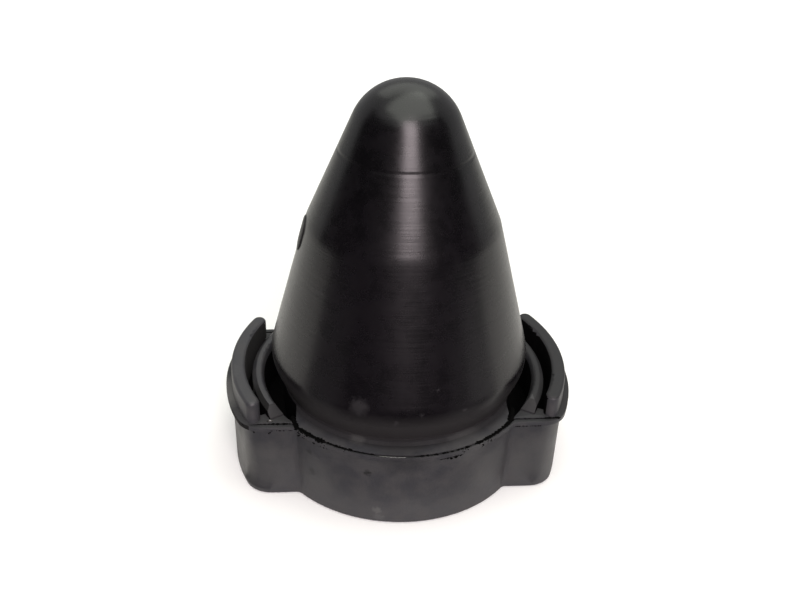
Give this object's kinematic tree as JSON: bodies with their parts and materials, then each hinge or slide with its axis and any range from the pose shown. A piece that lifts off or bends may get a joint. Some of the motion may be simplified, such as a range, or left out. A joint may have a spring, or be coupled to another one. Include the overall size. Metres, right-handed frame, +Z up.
{
  "type": "rubber buffer",
  "caption": "Moulded rubber bump stop: a domed, twice-tapered cone on a narrow neck, standing on a round slab with a walled lug on each side.",
  "frame": {"origin": "centre of the flat underside, on the cone's axis", "axes": "+Z up the cone's axis; the two lugs point along +X and -X; -Y is the pictured side"},
  "size_m": [0.13, 0.102, 0.1464],
  "materials": {
    "rubber": "moulded, semi-gloss"
  },
  "bodies": {
    "root": {"rubber_buffer": "rubber"}
  },
  "joints": []
}
